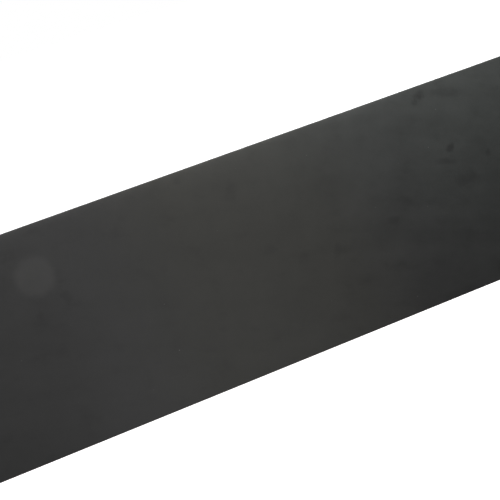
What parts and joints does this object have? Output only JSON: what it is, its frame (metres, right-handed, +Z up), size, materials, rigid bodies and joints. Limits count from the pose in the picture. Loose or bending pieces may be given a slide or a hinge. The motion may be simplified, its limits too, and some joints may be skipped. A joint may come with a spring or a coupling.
{
  "type": "kick plate",
  "caption": "Thin rectangular coated metal kick plate for the foot of a door, with foam tape strips on its back and a peel-off liner over each strip.",
  "frame": {"origin": "centre of the plane of the liners' outer sides, which is the plane that meets the door; it lies on the outer side of the middle liner", "axes": "+X along the plate's length, +Y out of its back into the door, +Z up, so the face looks towards -Y"},
  "size_m": [0.8636, 0.0025, 0.2032],
  "materials": {
    "charcoal_coat": "satin",
    "foam_tape": "matte",
    "liner_film": "satin"
  },
  "bodies": {
    "plate": {"face_plate": "charcoal_coat", "tape_top": "foam_tape", "tape_bottom": "foam_tape", "tape_left": "foam_tape", "tape_mid_left": "foam_tape", "tape_mid_centre": "foam_tape", "tape_mid_right": "foam_tape", "tape_right": "foam_tape"},
    "liner_top": {"liner_top": "liner_film"},
    "liner_bottom": {"liner_bottom": "liner_film"},
    "liner_left": {"liner_left": "liner_film"},
    "liner_mid_left": {"liner_mid_left": "liner_film"},
    "liner_mid_centre": {"liner_mid_centre": "liner_film"},
    "liner_mid_right": {"liner_mid_right": "liner_film"},
    "liner_right": {"liner_right": "liner_film"}
  },
  "joints": [
    {"name": "liner_top_peel", "type": "slide", "parent": "plate", "child": "liner_top", "axis": [0, 1, 0], "range_m": [0, 0.04]},
    {"name": "liner_bottom_peel", "type": "slide", "parent": "plate", "child": "liner_bottom", "axis": [0, 1, 0], "range_m": [0, 0.04]},
    {"name": "liner_left_peel", "type": "slide", "parent": "plate", "child": "liner_left", "axis": [0, 1, 0], "range_m": [0, 0.04]},
    {"name": "liner_mid_left_peel", "type": "slide", "parent": "plate", "child": "liner_mid_left", "axis": [0, 1, 0], "range_m": [0, 0.04]},
    {"name": "liner_mid_centre_peel", "type": "slide", "parent": "plate", "child": "liner_mid_centre", "axis": [0, 1, 0], "range_m": [0, 0.04]},
    {"name": "liner_mid_right_peel", "type": "slide", "parent": "plate", "child": "liner_mid_right", "axis": [0, 1, 0], "range_m": [0, 0.04]},
    {"name": "liner_right_peel", "type": "slide", "parent": "plate", "child": "liner_right", "axis": [0, 1, 0], "range_m": [0, 0.04]}
  ]
}
